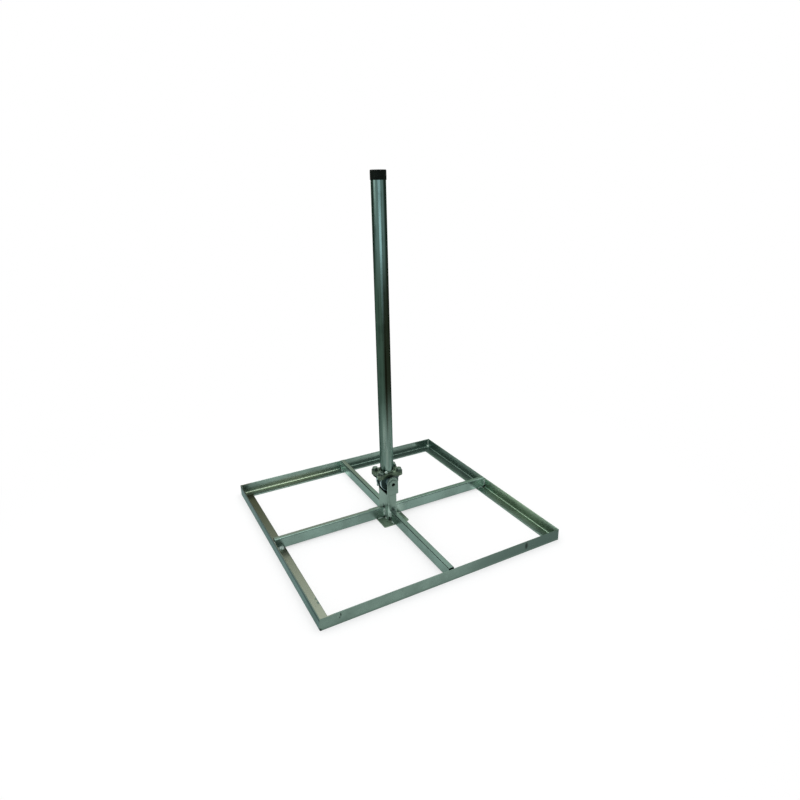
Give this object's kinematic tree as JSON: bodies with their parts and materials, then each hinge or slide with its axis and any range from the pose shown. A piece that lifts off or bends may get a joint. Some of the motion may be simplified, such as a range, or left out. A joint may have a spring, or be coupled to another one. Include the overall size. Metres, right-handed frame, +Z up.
{
  "type": "flat roof ballast stand with tilting antenna mast",
  "caption": "Square galvanised angle frame for paving slabs, with a cross of tube, a centre post and a tilting tube mast with a push-over cap.",
  "frame": {"origin": "on the ground under the middle of the square frame", "axes": "+Z up along the mast, X along the front rail, mast tilts about Y"},
  "size_m": [0.88, 0.88, 1.211],
  "materials": {
    "galvanised": "hot-dip galvanised, dull grey with faint spangle",
    "galvanised_mast": "galvanised tube, satin",
    "zinc_plated": "bright zinc plated",
    "black_plastic": "matt black"
  },
  "bodies": {
    "base": {"rail_front": "galvanised", "rail_right": "galvanised", "rail_back": "galvanised", "rail_left": "galvanised", "arm_front": "galvanised", "arm_right": "galvanised", "arm_back": "galvanised", "arm_left": "galvanised", "base_plate": "galvanised", "post": "galvanised", "ear_front": "galvanised", "ear_back": "galvanised", "pivot_sleeve": "zinc_plated", "pivot_collar_front": "zinc_plated", "pivot_collar_back": "zinc_plated", "spacer_front": "zinc_plated", "spacer_middle": "zinc_plated", "spacer_back": "zinc_plated"},
    "mast": {"cheek_front": "zinc_plated", "cheek_back": "zinc_plated", "head_plate": "galvanised_mast", "mast_flange": "galvanised_mast", "flange_bolts": "zinc_plated", "flange_washers": "zinc_plated", "mast_tube": "galvanised_mast", "mast_weld": "galvanised_mast", "mast_cap": "black_plastic"}
  },
  "joints": [
    {"name": "mast_tilt", "type": "hinge", "parent": "base", "child": "mast", "pos_m": [0, 0, 0.152], "axis": [0, 1, 0], "range_deg": [-90, 90]}
  ]
}
